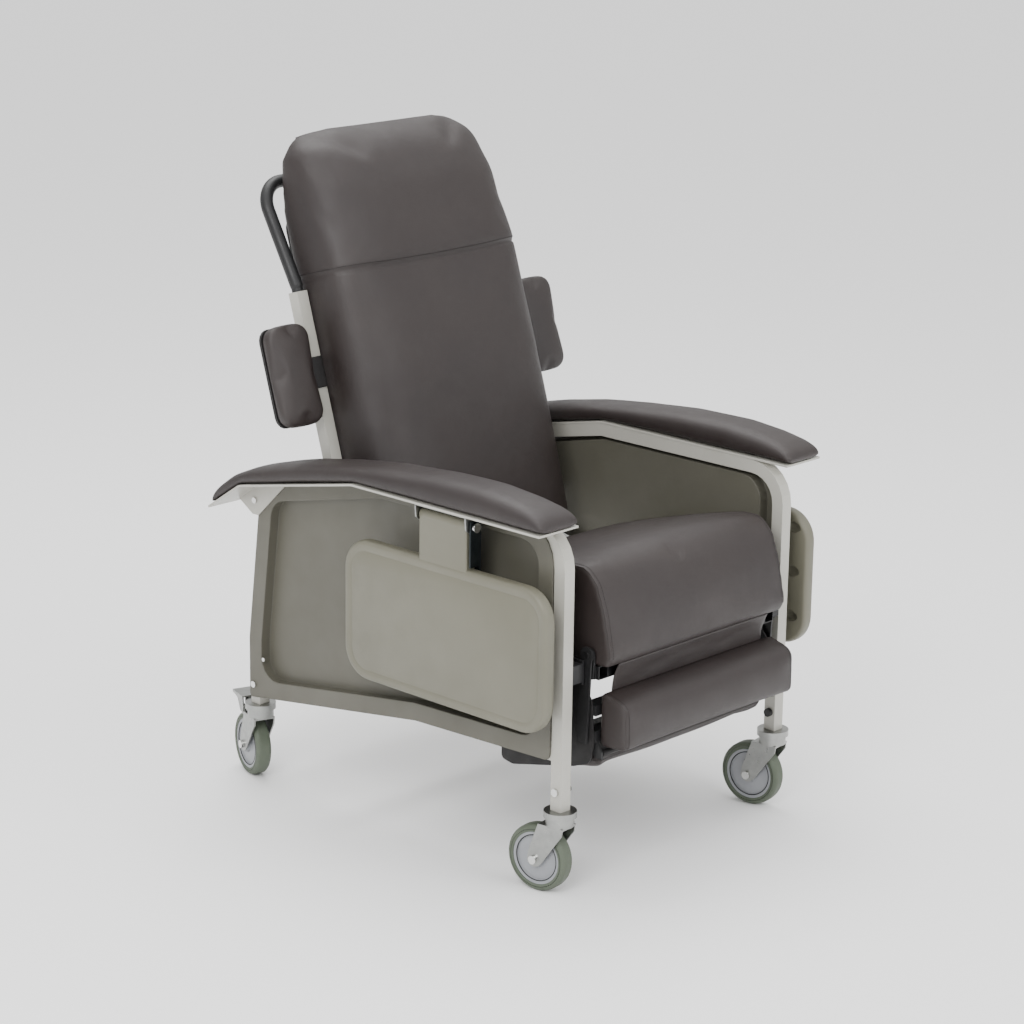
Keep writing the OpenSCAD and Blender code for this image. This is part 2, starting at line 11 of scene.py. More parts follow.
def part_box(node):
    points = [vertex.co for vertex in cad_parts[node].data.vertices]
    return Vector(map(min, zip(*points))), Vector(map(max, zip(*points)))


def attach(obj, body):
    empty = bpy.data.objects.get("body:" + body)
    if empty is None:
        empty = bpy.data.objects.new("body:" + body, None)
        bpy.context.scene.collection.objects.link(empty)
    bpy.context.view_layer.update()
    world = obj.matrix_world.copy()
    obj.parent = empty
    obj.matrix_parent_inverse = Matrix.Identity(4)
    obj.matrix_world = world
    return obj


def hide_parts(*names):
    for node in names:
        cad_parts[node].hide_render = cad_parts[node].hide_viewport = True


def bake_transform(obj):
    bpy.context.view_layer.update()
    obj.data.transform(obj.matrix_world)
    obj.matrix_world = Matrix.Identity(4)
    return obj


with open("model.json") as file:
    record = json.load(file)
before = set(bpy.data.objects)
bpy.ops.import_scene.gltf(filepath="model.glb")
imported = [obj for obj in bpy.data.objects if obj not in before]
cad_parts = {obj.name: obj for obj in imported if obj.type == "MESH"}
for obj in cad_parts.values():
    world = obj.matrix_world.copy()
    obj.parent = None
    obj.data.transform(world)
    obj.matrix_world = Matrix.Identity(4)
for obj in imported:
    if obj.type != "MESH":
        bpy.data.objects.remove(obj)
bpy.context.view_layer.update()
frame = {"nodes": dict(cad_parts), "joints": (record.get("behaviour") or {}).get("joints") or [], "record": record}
bpy.ops.object.select_all(action="DESELECT")
print("frame loaded")

# camera: where it looks, how far it stands and how it is turned
cameraSet = {"azimuth": -46.55, "elevation": 15.94, "distance": 5.773, "lens": 104.03,
             "roll": 0.775, "target": (0.0406, 0.0487, 0.559)}


def addCamera():
    turn, rise, roll = (math.radians(cameraSet[k]) for k in ("azimuth", "elevation", "roll"))
    back = Vector((math.sin(turn) * math.cos(rise), -math.cos(turn) * math.cos(rise), math.sin(rise)))
    right = Vector((math.cos(turn), math.sin(turn), 0))
    up = back.cross(right)
    axes = (right * math.cos(roll) + up * math.sin(roll), up * math.cos(roll) - right * math.sin(roll), back)
    bpy.ops.object.camera_add()
    camera = bpy.context.object
    camera.data.lens = cameraSet["lens"]
    place = Matrix(axes).transposed().to_4x4()
    place.translation = Vector(cameraSet["target"]) + back * cameraSet["distance"]
    camera.matrix_world = place
    bpy.context.scene.camera = camera


addCamera()

# studio: a pale sweep of floor, a soft sky and three large soft lamps
studio = {"floorSize": 60, "floorColor": (0.97, 0.97, 0.97), "skyTop": 1.7, "skySide": 0.6,
          "lamps": [("keyLamp", (-3.4, -1.6, 3.0), 2.0, 110), ("frontLamp", (0.6, -4.4, 2.6), 2.4, 70),
                    ("topLamp", (0.5, 1.2, 4.0), 2.4, 90)]}


def addStudio():
    world = bpy.data.worlds.new("studioSky")
    world.use_nodes = True
    tree = world.node_tree
    coords = tree.nodes.new("ShaderNodeTexCoord")
    split = tree.nodes.new("ShaderNodeSeparateXYZ")
    tree.nodes["Background"].inputs["Color"].default_value = (1, 1, 1, 1)
    rise = tree.nodes.new("ShaderNodeMapRange")  # brighter overhead than round the sides
    rise.interpolation_type = "SMOOTHSTEP"
    rise.inputs["To Min"].default_value = studio["skySide"]
    rise.inputs["To Max"].default_value = studio["skyTop"]
    tree.links.new(coords.outputs["Generated"], split.inputs["Vector"])
    tree.links.new(split.outputs["Z"], rise.inputs["Value"])
    tree.links.new(rise.outputs["Result"], tree.nodes["Background"].inputs["Strength"])
    bpy.context.scene.world = world
    for name, place, size, power in studio["lamps"]:
        bpy.ops.object.light_add(type="AREA", location=place)
        lamp = bpy.context.object
        lamp.name = name
        lamp.data.energy = power
        lamp.data.size = size
        lamp.rotation_euler = (Vector((0, 0, 0.6)) - Vector(place)).to_track_quat("-Z", "Y").to_euler()
    bpy.ops.mesh.primitive_plane_add(size=studio["floorSize"], location=(0, 0, 0))
    floor = bpy.context.object
    floor.name = "studioFloor"
    paint = bpy.data.materials.new("studioPaint")
    paint.use_nodes = True
    shader = paint.node_tree.nodes["Principled BSDF"]
    shader.inputs["Base Color"].default_value = (*studio["floorColor"], 1)
    shader.inputs["Roughness"].default_value = 0.9
    floor.data.materials.append(paint)


addStudio()
print("camera and studio placed")


# ---- finishes ----
def screenColor(red, green, blue):
    tones = [v / 255 for v in (red, green, blue)]
    return tuple(((v + 0.055) / 1.055) ** 2.4 if v > 0.04045 else v / 12.92 for v in tones)


def makeFinish(name, look):
    material = bpy.data.materials.new(name)
    material.use_nodes = True
    tree = material.node_tree
    shader = tree.nodes["Principled BSDF"]
    for socket, value in look.get("sockets", {}).items():
        shader.inputs[socket].default_value = value
    coords = tree.nodes.new("ShaderNodeTexCoord")
    place = coords.outputs["Object"]

    def cloud(scale, detail=3, rough=0.55):
        node = tree.nodes.new("ShaderNodeTexNoise")
        node.inputs["Scale"].default_value = scale
        node.inputs["Detail"].default_value = detail
        node.inputs["Roughness"].default_value = rough
        tree.links.new(place, node.inputs["Vector"])
        return node.outputs["Fac"]

    def cells(scale, feature):
        node = tree.nodes.new("ShaderNodeTexVoronoi")
        node.feature = feature
        node.inputs["Scale"].default_value = scale
        tree.links.new(place, node.inputs["Vector"])
        return node.outputs["Distance"]

    def spread(value, low, high, start=0.3, end=0.7):
        node = tree.nodes.new("ShaderNodeMapRange")
        for socket, number in zip(("From Min", "From Max", "To Min", "To Max"), (start, end, low, high)):
            node.inputs[socket].default_value = number
        tree.links.new(value, node.inputs["Value"])
        return node.outputs["Result"]

    ramp = tree.nodes.new("ShaderNodeValToRGB")
    tones = look["tones"]
    ramp.color_ramp.elements[0].position = 0.32
    ramp.color_ramp.elements[1].position = 0.68
    ramp.color_ramp.elements[0].color = (*screenColor(*tones[0]), 1)
    ramp.color_ramp.elements[1].color = (*screenColor(*tones[1]), 1)
    tree.links.new(cloud(look.get("mottle", 9), 5), ramp.inputs["Fac"])
    color = ramp.outputs["Color"]
    if "specks" in look:  # fine darker or lighter flecks over the tones
        fleckScale, fleckTone, amount = look["specks"]
        mix = tree.nodes.new("ShaderNodeMix")
        mix.data_type = "RGBA"
        mix.inputs["B"].default_value = (*screenColor(*fleckTone), 1)
        tree.links.new(color, mix.inputs["A"])
        tree.links.new(spread(cloud(fleckScale, 2), 0, amount, 0.52, 0.72), mix.inputs["Factor"])
        color = mix.outputs["Result"]
    if "darkBefore" in look:  # black in front of a place along the chair
        limit, tone = look["darkBefore"]
        split = tree.nodes.new("ShaderNodeSeparateXYZ")
        tree.links.new(coords.outputs["Object"], split.inputs["Vector"])
        mix = tree.nodes.new("ShaderNodeMix")
        mix.data_type = "RGBA"
        mix.inputs["B"].default_value = (*screenColor(*tone), 1)
        tree.links.new(color, mix.inputs["A"])
        tree.links.new(spread(split.outputs["Y"], 1, 0, limit - 0.0005, limit + 0.0005), mix.inputs["Factor"])
        color = mix.outputs["Result"]
    tree.links.new(color, shader.inputs["Base Color"])
    low, high = look["roughness"]
    tree.links.new(spread(cloud(look.get("roughScale", 23), 4), low, high), shader.inputs["Roughness"])

    normal = None
    if look.get("edge"):
        rounding = tree.nodes.new("ShaderNodeBevel")
        rounding.samples = 4
        rounding.inputs["Radius"].default_value = look["edge"]
        normal = rounding.outputs["Normal"]
    for kind, scale, height in look.get("bumps", []):
        bump = tree.nodes.new("ShaderNodeBump")
        bump.inputs["Strength"].default_value = 1
        bump.inputs["Distance"].default_value = height
        source = cloud(scale, 3) if kind == "cloud" else cells(scale, kind)
        if kind == "DISTANCE_TO_EDGE":
            source = spread(source, 0, 1, 0, 0.22)
        tree.links.new(source, bump.inputs["Height"])
        if normal:
            tree.links.new(normal, bump.inputs["Normal"])
        normal = bump.outputs["Normal"]
    if normal:
        tree.links.new(normal, shader.inputs["Normal"])
    return material


looks = {
    "vinyl": {"tones": [(35, 27, 26), (40, 32, 30)], "mottle": 6, "specks": (900, (29, 23, 22), 0.35),
              "roughness": (0.42, 0.54), "roughScale": 14, "sockets": {"Specular IOR Level": 0.55},
              "bumps": [("cloud", 16, 0.0012), ("DISTANCE_TO_EDGE", 620, 0.00012), ("cloud", 1500, 0.00006)]},
    "seatPaint": {"tones": [(170, 168, 159), (178, 176, 168)], "mottle": 7, "roughness": (0.30, 0.42),
                  "edge": 0.0012, "darkBefore": (-0.392, (17, 17, 18)), "bumps": [("cloud", 420, 0.00005)]},
    "thread": {"tones": [(26, 20, 20), (40, 33, 32)], "mottle": 900, "roughness": (0.6, 0.8),
               "bumps": [("cloud", 2500, 0.0001)]},
    "backing": {"tones": [(18, 17, 17), (26, 24, 24)], "mottle": 40, "roughness": (0.55, 0.75), "edge": 0.0006,
                "specks": (700, (34, 33, 32), 0.3), "bumps": [("F1", 900, 0.00012), ("cloud", 60, 0.0002)]},
    "framePaint": {"tones": [(170, 168, 159), (178, 176, 168)], "mottle": 7, "roughness": (0.30, 0.42),
                   "edge": 0.0012, "specks": (1300, (160, 158, 150), 0.25),
                   "sockets": {"Coat Weight": 0.25, "Coat Roughness": 0.25},
                   "bumps": [("cloud", 420, 0.00005), ("cloud", 1700, 0.00002)]},
    "panelPlastic": {"tones": [(84, 82, 72), (91, 89, 79)], "mottle": 5, "roughness": (0.42, 0.56),
                     "specks": (1100, (76, 74, 65), 0.4), "edge": 0.004,
                     "bumps": [("cloud", 5, 0.0008), ("F1", 1100, 0.00007), ("cloud", 900, 0.00005)]},
    "trayPlastic": {"tones": [(104, 102, 88), (110, 108, 94)], "mottle": 5, "roughness": (0.40, 0.54),
                    "specks": (1200, (94, 92, 79), 0.4), "edge": 0.001,
                    "bumps": [("cloud", 6, 0.0006), ("F1", 1000, 0.00008), ("cloud", 800, 0.00005)]},
    "zinc": {"tones": [(150, 151, 149), (160, 161, 158)], "mottle": 60, "roughness": (0.26, 0.44), "roughScale": 90,
             "sockets": {"Metallic": 1.0}, "edge": 0.0008,
             "bumps": [("cloud", 500, 0.00003), ("cloud", 30, 0.00008)]},
    "strapSteel": {"tones": [(40, 45, 47), (54, 59, 61)], "mottle": 50, "roughness": (0.34, 0.5),
                   "sockets": {"Metallic": 0.9}, "edge": 0.0008, "bumps": [("cloud", 300, 0.00008)]},
    "chrome": {"tones": [(205, 205, 203), (218, 218, 216)], "mottle": 30, "roughness": (0.08, 0.16),
               "sockets": {"Metallic": 1.0}, "edge": 0.0006, "bumps": [("cloud", 200, 0.00003)]},
    "handleBlack": {"tones": [(17, 17, 18), (23, 23, 24)], "mottle": 20, "roughness": (0.42, 0.56), "edge": 0.0006,
                    "bumps": [("cloud", 800, 0.00005), ("F1", 700, 0.00006)]},
    "capBlack": {"tones": [(12, 12, 12), (18, 18, 18)], "mottle": 60, "roughness": (0.35, 0.5), "edge": 0.0008,
                 "bumps": [("cloud", 900, 0.00005)]},
    "hubGrey": {"tones": [(140, 142, 146), (150, 152, 156)], "mottle": 20, "roughness": (0.34, 0.46),
                "edge": 0.0008, "specks": (1000, (130, 132, 136), 0.3), "bumps": [("cloud", 700, 0.00005)]},
    "tyreGrey": {"tones": [(78, 86, 72), (86, 94, 80)], "mottle": 18, "roughness": (0.52, 0.68), "edge": 0.0008,
                 "specks": (800, (66, 72, 61), 0.4), "bumps": [("cloud", 500, 0.0001), ("cloud", 60, 0.0002)]},
}
finishes = {name: makeFinish(name, look) for name, look in looks.items()}

slotFinishes = {"vinyl": "vinyl", "backing": "backing", "frame_paint": "framePaint",
                "panel_plastic": "panelPlastic", "tray_plastic": "trayPlastic", "zinc": "zinc",
                "chrome": "chrome", "handle_black": "handleBlack",
                "hub_grey": "hubGrey", "tyre_grey": "tyreGrey"}
nodeFinishes = {"tray_strap_right": "strapSteel", "tray_strap_left": "strapSteel", "nut_caps": "capBlack",
                "legrest_frame": "handleBlack", "seat_guides": "handleBlack", "seat_frame": "seatPaint"}


def paintFrame():
    for part in frame["record"]["subparts"]:
        node = frame["nodes"][part["node"]]
        finish = finishes[nodeFinishes.get(part["node"], slotFinishes[part["material_slot"]])]
        node.data.materials.clear()
        node.data.materials.append(finish)


paintFrame()
print("frame painted")


# ---- shared work on padded pieces ----
jointPlaces = {joint["name"]: joint for joint in frame["joints"]}
recline = Vector(jointPlaces["back_recline"]["pos_m"])
leanAngle = math.radians(17)
leanSpace = Matrix.Translation(recline) @ Matrix.Rotation(-leanAngle, 4, "X")
foldPlace = Vector(jointPlaces["foot_fold"]["pos_m"])
foldSpace = Matrix.Translation(foldPlace) @ Matrix.Rotation(-math.radians(14), 4, "X")


def only(piece):
    bpy.ops.object.select_all(action="DESELECT")
    piece.select_set(True)
    bpy.context.view_layer.objects.active = piece
    return piece


def applyAll(piece):
    only(piece)
    for modifier in list(piece.modifiers):
        bpy.ops.object.modifier_apply(modifier=modifier.name)


def meshPiece(name, points, faces):
    mesh = bpy.data.meshes.new(name)
    mesh.from_pydata([tuple(p) for p in points], [], faces)
    mesh.update()
    piece = bpy.data.objects.new(name, mesh)
    bpy.context.scene.collection.objects.link(piece)
    return piece


def arcCorner(before, at, after, radius, steps):
    one, two = (before - at).normalized(), (after - at).normalized()
    half = one.angle(two) / 2
    middle = at + (one + two).normalized() * radius / math.sin(half)
    start, end = at + one * radius / math.tan(half) - middle, at + two * radius / math.tan(half) - middle
    points = []
    for step in range(steps + 1):
        share = step / steps
        points.append(middle + start.slerp(end, share).normalized() * radius)
    return points


def roundOutline(points, radii, steps=6):
    flat = [Vector(p) for p in points]
    outline = []
    for index, point in enumerate(flat):
        radius = radii[index] if isinstance(radii, (list, tuple)) else radii
        if radius <= 0:
            outline.append(point)
        else:
            outline += arcCorner(flat[index - 1], point, flat[(index + 1) % len(flat)], radius, steps)
    return outline


def slabFromOutline(name, outline, low, high, axis):
    def lift(point, depth):
        return (depth, point.x, point.y) if axis == "x" else (point.x, depth, point.y)
    count = len(outline)
    points = [lift(p, low) for p in outline] + [lift(p, high) for p in outline]
    faces = [list(range(count))[::-1], list(range(count, 2 * count))]
    faces += [(i, (i + 1) % count, count + (i + 1) % count, count + i) for i in range(count)]
    piece = meshPiece(name, points, faces)
    only(piece)
    bpy.ops.object.mode_set(mode="EDIT")
    bpy.ops.mesh.select_all(action="SELECT")
    bpy.ops.mesh.normals_make_consistent(inside=False)
    bpy.ops.object.mode_set(mode="OBJECT")
    return piece


def shape(piece, change):
    spots = [(v.co.copy(), v.normal.copy()) for v in piece.data.vertices]
    piece.data.vertices.foreach_set("co", [n for place, normal in spots for n in change(place, normal)])
    piece.data.update()


def remesh(piece, voxel, smooth=6):
    modifier = piece.modifiers.new("even", "REMESH")
    modifier.mode = "VOXEL"
    modifier.voxel_size = voxel
    if smooth:
        relax = piece.modifiers.new("relax", "SMOOTH")
        relax.factor = 0.5
        relax.iterations = smooth
    applyAll(piece)


# how every cushion is swollen: soft cloth under pressure, held where it is sewn or rests
clothSet = {"frames": 20, "quality": 6, "mass": 0.3, "stiffness": 12, "bending": 2.0, "quickShare": 0.35}


def inflate(piece, held, pressure, cap, after=3):
    mesh = piece.data
    rest = [v.co.copy() for v in mesh.vertices]
    group = piece.vertex_groups.new(name="held")
    for index, weight in enumerate([held(v.co, v.normal) for v in mesh.vertices]):
        if weight > 0:
            group.add([index], weight, "REPLACE")
    cloth = piece.modifiers.new("swell", "CLOTH")
    settings = cloth.settings
    settings.quality = clothSet["quality"]
    settings.mass = clothSet["mass"]
    settings.tension_stiffness = settings.compression_stiffness = clothSet["stiffness"]
    settings.bending_stiffness = clothSet["bending"]
    settings.use_pressure = True
    settings.uniform_pressure_force = pressure
    settings.effector_weights.gravity = 0
    settings.vertex_group_mass = "held"
    cloth.point_cache.frame_start = 1
    cloth.point_cache.frame_end = clothSet["frames"]
    scene = bpy.context.scene
    for step in range(1, clothSet["frames"] + 1):
        scene.frame_set(step)
    shaped = piece.evaluated_get(bpy.context.evaluated_depsgraph_get()).data
    grown = [v.co.copy() for v in shaped.vertices]
    piece.modifiers.remove(cloth)
    scene.frame_set(1)
    flat = []
    for old, new in zip(rest, grown):
        move = new - old
        flat.extend(old + move * (cap * math.tanh(move.length / cap) / max(move.length, 1e-7)))
    mesh.vertices.foreach_set("co", flat)
    mesh.update()
    piece.vertex_groups.clear()
    relax = piece.modifiers.new("relax", "SMOOTH")
    relax.factor = 0.5
    relax.iterations = after
    applyAll(piece)


def dense(path, step, closed=False):
    points = [Vector(p) for p in path]
    if closed:
        points.append(points[0].copy())
    lengths = [0]
    for a, b in zip(points, points[1:]):
        lengths.append(lengths[-1] + (b - a).length)
    count = max(2, round(lengths[-1] / step))
    result, index = [], 0
    for i in range(count + (0 if closed else 1)):
        want = lengths[-1] * i / count
        while index < len(points) - 2 and lengths[index + 1] < want:
            index += 1
        gap = lengths[index + 1] - lengths[index]
        result.append(points[index].lerp(points[index + 1], (want - lengths[index]) / gap if gap else 0))
    return result


def groove(piece, path, width, depth, closed=False):
    tree = KDTree(0)
    samples = dense(path, width / 2, closed)
    tree = KDTree(len(samples))
    for index, point in enumerate(samples):
        tree.insert(point, index)
    tree.balance()
    shape(piece, lambda place, normal:
          place - normal * depth * math.exp(-(tree.find(place)[2] / width) ** 2))


def onSurface(piece, path, step, closed=False, lift=0.0):
    tree = BVHTree.FromObject(piece, bpy.context.evaluated_depsgraph_get())
    result = []
    for point in dense(path, step, closed):
        place, normal, index, distance = tree.find_nearest(point)
        result.append((place + normal * lift, normal))
    return result


def welt(name, piece, path, radius, closed=False, sink=0.4):
    spots = onSurface(piece, path, radius * 2.2, closed, -radius * sink)
    rings, sides = [], 6
    count = len(spots)
    points, faces = [], []
    for index, (place, normal) in enumerate(spots):
        ahead = spots[(index + 1) % count][0] if closed or index < count - 1 else place
        behind = spots[index - 1][0] if closed or index > 0 else place
        along = (ahead - behind).normalized()
        side = along.cross(normal).normalized()
        top = side.cross(along)
        for corner in range(sides):
            angle = 2 * math.pi * corner / sides
            points.append(place + (side * math.cos(angle) + top * math.sin(angle)) * radius)
    last = count if closed else count - 1
    for index in range(last):
        for corner in range(sides):
            a, b = index * sides + corner, index * sides + (corner + 1) % sides
            c, d = ((index + 1) % count) * sides + corner, ((index + 1) % count) * sides + (corner + 1) % sides
            faces.append((a, b, d, c))
    if not closed:
        faces += [tuple(range(sides))[::-1], tuple(range((count - 1) * sides, count * sides))]
    cord = meshPiece(name, points, faces)
    smoothShade(cord)
    cord.data.materials.append(finishes["vinyl"])
    return cord


def stitches(name, piece, path, pitch=0.0052, length=0.0038, radius=0.00062, closed=False):
    spots = onSurface(piece, path, pitch, closed, radius * 0.55)
    count = len(spots)
    points, faces = [], []
    for index in range(count if closed else count - 1):
        place, normal = spots[index]
        along = (spots[(index + 1) % count][0] - place).normalized()
        side = along.cross(normal).normalized()
        base = len(points)
        for share, wide, high in ((0, 0.5, -0.6), (0.2, 1, 0.2), (0.8, 1, 0.2), (1, 0.5, -0.6)):
            middle = place + along * length * share + normal * radius * high
            points += [middle + side * radius * wide, middle + normal * radius * 0.9 * wide,
                       middle - side * radius * wide]
        for ring in range(3):
            a = base + ring * 3
            faces += [(a, a + 1, a + 4, a + 3), (a + 1, a + 2, a + 5, a + 4), (a + 2, a, a + 3, a + 5)]
        faces += [(base + 2, base + 1, base), (base + 9, base + 10, base + 11)]
    thread = meshPiece(name, points, faces)
    smoothShade(thread)
    thread.data.materials.append(finishes["thread"])
    return thread


def smoothShade(piece):
    piece.data.polygons.foreach_set("use_smooth", [True] * len(piece.data.polygons))
    piece.data.update()


def narrow(piece, half):
    shape(piece, lambda place, normal: (max(-half, min(half, place.x)), place.y, place.z))


def subdivide(piece, levels=1):
    modifier = piece.modifiers.new("soft", "SUBSURF")
    modifier.levels = modifier.render_levels = levels
    applyAll(piece)


def crease(piece, start, end, width, depth):
    a, b = Vector(start), Vector(end)
    line = b - a

    def change(place, normal):
        share = (place - a).dot(line) / line.length_squared
        if not -0.1 < share < 1.1:
            return place
        distance = (place - (a + line * share)).length + noise.noise(place * 9) * 0.006
        fade = math.exp(-((share - 0.5) / 0.38) ** 4)
        ridge = math.exp(-(distance / width) ** 2) - 0.5 * math.exp(-((distance - 2 * width) / width) ** 2)
        return place - normal * depth * ridge * fade

    shape(piece, change)


def finishPadded(piece, body, nodes):
    smoothShade(piece)
    piece.data.materials.clear()
    piece.data.materials.append(finishes["vinyl"])
    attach(piece, body)
    if nodes:
        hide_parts(*nodes)


def rideAll(body, *extras):
    for extra in extras:
        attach(extra, body)


# ---- seat cushion ----
seatPad = {"halfWidth": 0.2485, "widest": 0.2502, "voxel": 0.006, "pressure": 4, "cap": 0.018,
           "edgeHold": 0.005, "fill": 0.75,
           "outline": [(0.009, -0.001), (0.500, 0.001), (0.504, 0.050), (0.423, 0.084), (0.345, 0.110),
                       (0.243, 0.140), (0.181, 0.157), (0.108, 0.175), (0.064, 0.177), (0.035, 0.150),
                       (0.016, 0.098), (-0.001, 0.018)],
           "rounding": [0.006, 0.01, 0.014, 0, 0, 0, 0, 0.02, 0.035, 0.03, 0, 0.008]}


def makeSeat():
    low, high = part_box("seat_cushion")
    corner = Vector((low[1], low[2]))
    outline = roundOutline([corner + Vector(p) for p in seatPad["outline"]], seatPad["rounding"])
    half = seatPad["halfWidth"]
    seat = slabFromOutline("seatCushion", outline, -half, half, "x")
    remesh(seat, seatPad["voxel"], 3)
    bottom = corner.y + 0.014

    def held(place, normal):
        if place.z < bottom or place.y > high[1] - 0.012:
            return 1
        edge = half - abs(place.x)
        atEdge = edge < seatPad["edgeHold"] and abs(normal.x) < 0.93 and abs(normal.x) > 0.25
        return 1 if atEdge else (0.75 if abs(normal.x) > 0.8 else 0)

    inflate(seat, held, seatPad["pressure"], seatPad["cap"])
    narrow(seat, seatPad["widest"])
    subdivide(seat)
    upper = [p for p in outline if p.y > corner.y + 0.012 and p.x < high[1] - 0.02]
    extras = []
    for side, word in ((-1, "Right"), (1, "Left")):
        seam = [Vector((side * half, p.x, p.y)) for p in upper]
        groove(seat, seam, 0.003, 0.0022)
        top = [Vector((side * (half - 0.009), p.x, p.y)) for p in upper]
        extras.append(welt("seatWelt" + word, seat, seam, 0.0021))
        extras.append(stitches("seatStitch" + word, seat, top))
    for start, end, width, depth in (((-0.225, -0.12, 0.56), (-0.12, -0.02, 0.535), 0.006, 0.0016),
                                     ((-0.235, -0.16, 0.57), (-0.165, -0.10, 0.553), 0.005, 0.0012),
                                     ((-0.22, -0.425, 0.58), (-0.19, -0.36, 0.615), 0.005, 0.0010),
                                     ((0.21, -0.10, 0.55), (0.13, -0.02, 0.535), 0.006, 0.0013)):
        crease(seat, start, end, width, depth)
    finishPadded(seat, "seat", ["seat_cushion"])
    rideAll("seat", *extras)


makeSeat()
print("seat cushion done")

# ---- back cushion, in the back's upright space ----
backPad = {"voxel": 0.0078, "widest": 0.2502, "pressure": 4, "cap": 0.010, "seamHeight": 0.478, "fill": 0.75,
           "headStep": 0.004, "halfWidth": 0.2475, "top": 0.759, "cornerRadius": 0.076, "sideRound": (0.075, 0.056),
           "outline": [(-0.100, -0.118), (0.018, -0.104), (0.025, -0.090), (0.025, 0.600), (0.021, 0.655),
                       (0.011, 0.705), (-0.003, 0.742), (-0.022, 0.759), (-0.046, 0.755), (-0.078, 0.716),
                       (-0.108, 0.628), (-0.126, 0.463), (-0.133, 0.270), (-0.132, 0.067), (-0.126, -0.085)],
           "rounding": [0.02, 0, 0.02, 0, 0, 0, 0.02, 0.02, 0.022, 0.03, 0, 0, 0, 0, 0.02]}


def backWidth(height):
    half = backPad["halfWidth"] - max(0, height - 0.48) * 0.034
    radius = backPad["cornerRadius"]
    over = height - (backPad["top"] - radius)
    return half if over <= 0 else half - radius + math.sqrt(max(0, radius ** 2 - over ** 2))


def backFront(across, height):
    face = backPad["outline"][8:]
    for (y0, z0), (y1, z1) in zip(face, face[1:]):
        if height >= z1:
            break
    front = y0 + (y1 - y0) * min(1, max(0, (height - z0) / (z1 - z0)))
    wide, deep = backPad["sideRound"]
    inward = min(1, max(0, 1 - (backWidth(height) - abs(across)) / wide))
    return front + deep * (1 - math.sqrt(1 - inward ** 2))


def makeBack():
    outline = roundOutline(backPad["outline"], backPad["rounding"])
    back = slabFromOutline("backCushion", outline, -0.26, 0.26, "x")
    remesh(back, 0.008, 2)
    shape(back, lambda place, normal: (
        max(-backWidth(place.z), min(backWidth(place.z), place.x)),
        max(place.y, min(0.012, backFront(place.x, place.z))), place.z))
    remesh(back, backPad["voxel"], 5)
    seamZ = backPad["seamHeight"]

    def held(place, normal):
        if (place.y > 0.012 and place.z < 0.61) or place.z < -0.1:
            return 1
        if abs(place.z - seamZ) < 0.006 and normal.y < 0.4:
            return 1
        return 0.6 if place.y > -0.02 else 0

    inflate(back, held, backPad["pressure"], backPad["cap"], after=14)
    narrow(back, backPad["widest"])
    shape(back, lambda place, normal:  # the head section stands proud of the seam
          place + normal * backPad["headStep"] * max(0, min(1, (place.z - seamZ) / 0.010)) * max(0, -normal.y))
    subdivide(back)

    def seamAt(rise):
        half = backWidth(seamZ)
        path = [Vector((-half, y, seamZ)) for y in (0.02, -0.02, -0.055)]
        path += [Vector((x * half / 20, backFront(x * half / 20, seamZ), seamZ)) for x in range(-19, 20)]
        path += [Vector((half, y, seamZ)) for y in (-0.055, -0.02, 0.02)]
        return [p + Vector((0, 0, rise - 0.006 * math.cos(p.x / half * math.pi / 2))) for p in path]

    groove(back, seamAt(0), 0.0032, 0.0032)
    thread = stitches("headStitch", back, seamAt(0.008), radius=0.0008)
    groove(back, [Vector((0.125, -0.122, 0.650)), Vector((0.1252, -0.122, 0.650))], 0.003, 0.0016)
    for piece in (back, thread):
        piece.data.transform(leanSpace)
    finishPadded(back, "back", ["back_cushion"])
    rideAll("back", thread)


makeBack()
print("back cushion done")


# ---- legrest pad and foot panel ----
legPad = {"halfWidth": 0.2392, "widest": 0.2405, "voxel": 0.005, "pressure": 4, "cap": 0.016, "fill": 0.75,
          "outline": [(0.001, 0.004), (0.0665, 0.000), (0.0665, 0.106), (0.003, 0.089)],
          "rounding": [0.012, 0.006, 0.008, 0.024]}


def makeLegPad():
    low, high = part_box("legrest_pad")
    corner = Vector((low[1], low[2]))
    outline = roundOutline([corner + Vector(p) for p in legPad["outline"]], legPad["rounding"])
    half = legPad["halfWidth"]
    pad = slabFromOutline("legrestPad", outline, -half, half, "x")
    remesh(pad, legPad["voxel"], 3)

    def held(place, normal):
        if place.y > high[1] - 0.008:
            return 1
        edge = half - abs(place.x)
        if edge < 0.005 and 0.25 < abs(normal.x) < 0.93:
            return 1
        return 0.75 if abs(normal.x) > 0.8 else 0

    inflate(pad, held, legPad["pressure"], legPad["cap"])
    narrow(pad, legPad["widest"])
    subdivide(pad)
    extras = []
    front = [p for p in outline if p.x < high[1] - 0.006]
    for side, word in ((-1, "Right"), (1, "Left")):
        seam = [Vector((side * half, p.x, p.y)) for p in front]
        seam = sorted(seam, key=lambda p: math.atan2(p.y - high[1], p.z - (low[2] + high[2]) / 2))
        groove(pad, seam, 0.003, 0.002)
        extras.append(welt("legrestWelt" + word, pad, seam, 0.0019))
        inner = [p - Vector((side * 0.009, 0, 0)) for p in seam]
        extras.append(stitches("legrestStitch" + word, pad, inner))
    finishPadded(pad, "legrest", ["legrest_pad"])
    rideAll("legrest", *extras)


makeLegPad()

footPad = {"halfWidth": 0.231, "voxel": 0.006, "pressure": 4, "cap": 0.004, "fill": 0.7,
           "outline": [(0.010, -0.027), (0.235, -0.027), (0.236, -0.0046), (0.009, -0.0046)],
           "rounding": [0.015, 0.015, 0.002, 0.002]}


